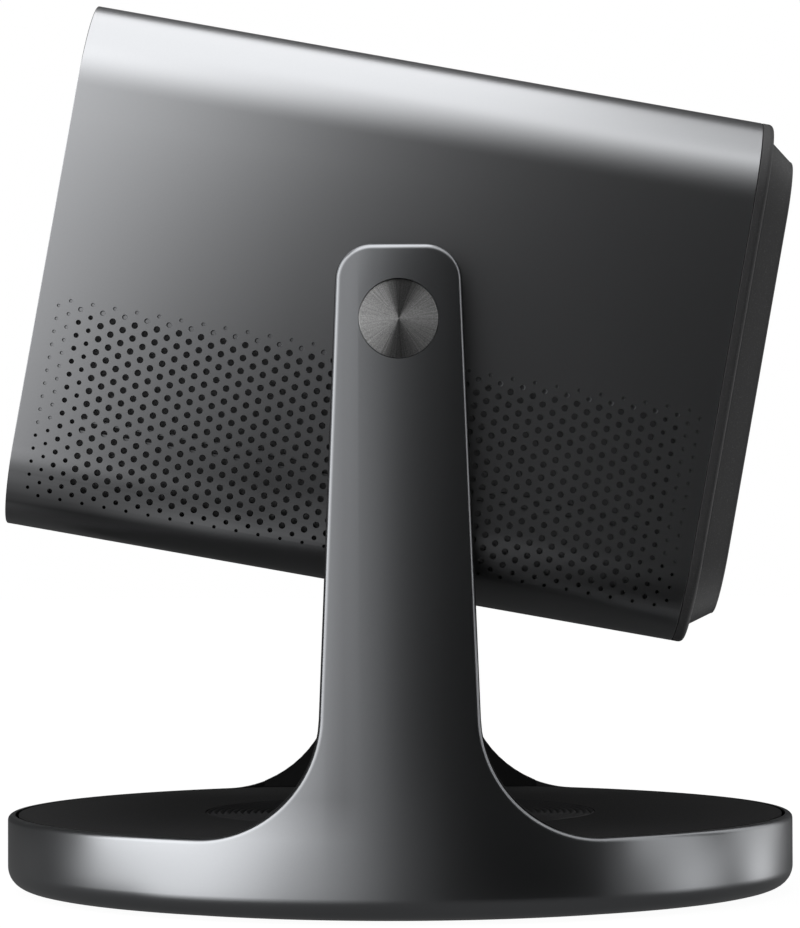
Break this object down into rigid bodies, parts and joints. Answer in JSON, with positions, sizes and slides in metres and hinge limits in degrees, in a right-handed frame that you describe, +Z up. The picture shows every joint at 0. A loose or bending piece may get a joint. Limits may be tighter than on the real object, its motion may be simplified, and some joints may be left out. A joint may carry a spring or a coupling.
{
  "type": "laser projector",
  "caption": "Compact laser projector: perforated metal head that tilts in a fork stand, on a round base that turns on its foot.",
  "frame": {"origin": "on the table under the centre of the round base", "axes": "+Z up, -X the way the lens faces, -Y the projector's left side"},
  "size_m": [0.204, 0.204, 0.221],
  "materials": {
    "rubber": "matt",
    "dark_steel": "satin",
    "nylon": "matt",
    "steel": "satin",
    "brass": "satin",
    "stand_metal": "satin anodised",
    "bronze": "satin",
    "iron": "matt",
    "deck_black": "matt",
    "rib_black": "matt",
    "liner_black": "matt",
    "spun_metal": "spun",
    "gunmetal": "satin anodised",
    "trim_black": "matt",
    "gloss_black": "gloss",
    "ring_metal": "satin",
    "lens_glass": "polished",
    "sensor_glass": "gloss",
    "rear_black": "fine texture",
    "board_green": "satin",
    "cast_metal": "cast",
    "copper": "satin",
    "mesh_grey": "matt",
    "key_black": "satin"
  },
  "bodies": {
    "foot": {"foot_ring": "rubber", "foot_plate": "dark_steel", "slip_ring": "nylon", "pan_spindle": "steel", "tripod_insert": "brass", "pan_nut": "steel"},
    "stand": {"stand_shell": "stand_metal", "yoke_frame": "steel", "pan_bush": "bronze", "ballast_ring": "iron", "deck_cover": "deck_black", "ribbed_disc": "rib_black", "arm_liner_left": "liner_black", "arm_liner_right": "liner_black", "tilt_bush_left": "bronze", "tilt_bush_right": "bronze", "pivot_cap_left": "spun_metal", "pivot_cap_right": "spun_metal", "shell_screws": "steel"},
    "head": {"casing": "gunmetal", "front_frame": "trim_black", "front_panel": "gloss_black", "lens_ring": "ring_metal", "lens_front": "lens_glass", "lens_barrel": "trim_black", "sensor_window": "sensor_glass", "rear_bezel": "rear_black", "rear_cover": "rear_black", "port_panel": "trim_black", "signal_sockets": "steel", "audio_socket": "trim_black", "dc_inlet": "trim_black", "switch_board": "board_green", "chassis": "cast_metal", "trunnion_left": "steel", "trunnion_right": "steel", "trunnion_screws": "steel", "tilt_nuts": "steel", "light_engine": "cast_metal", "laser_module": "dark_steel", "dmd_board": "board_green", "heat_pipes": "copper", "fin_stack": "cast_metal", "fan_frame_left": "trim_black", "fan_frame_right": "trim_black", "main_board": "board_green", "power_board": "board_green", "board_posts": "brass", "speaker_left": "trim_black", "speaker_right": "trim_black", "mesh_left": "mesh_grey", "mesh_right": "mesh_grey", "focus_motor": "steel"},
    "power_key": {"power_button": "key_black"},
    "fan_left": {"fan_rotor_left": "trim_black"},
    "fan_right": {"fan_rotor_right": "trim_black"},
    "focus_group": {"focus_carriage": "trim_black", "focus_lens": "lens_glass"},
    "focus_drive": {"focus_screw": "steel"}
  },
  "joints": [
    {"name": "pan", "type": "hinge", "parent": "foot", "child": "stand", "pos_m": [0, 0, 0], "axis": [0, 0, 1], "continuous": true},
    {"name": "tilt", "type": "hinge", "parent": "stand", "child": "head", "pos_m": [0, 0, 0.1429], "axis": [0, 1, 0], "range_deg": [-55, 80]},
    {"name": "power_press", "type": "slide", "parent": "head", "child": "power_key", "axis": [-0.9842, 0, 0.1771], "range_m": [0, 0.0008], "stiffness_N_per_m": 1200},
    {"name": "fan_left_spin", "type": "hinge", "parent": "head", "child": "fan_left", "pos_m": [0.03714, -0.076, 0.10929], "axis": [0, 1, 0], "continuous": true},
    {"name": "fan_right_spin", "type": "hinge", "parent": "head", "child": "fan_right", "pos_m": [0.03714, 0.076, 0.10929], "axis": [0, 1, 0], "continuous": true},
    {"name": "focus_slide", "type": "slide", "parent": "head", "child": "focus_group", "axis": [0.9842, 0, -0.1771], "range_m": [-0.0015, 0.0015]},
    {"name": "focus_turn", "type": "hinge", "parent": "head", "child": "focus_drive", "pos_m": [-0.04461, 0.001, 0.17734], "axis": [0.9842, 0, -0.1771], "range_deg": [-285, 285]}
  ],
  "couplings": [
    {"joint": "focus_turn", "follows": "focus_slide", "rad_per_m": 3141.6}
  ]
}
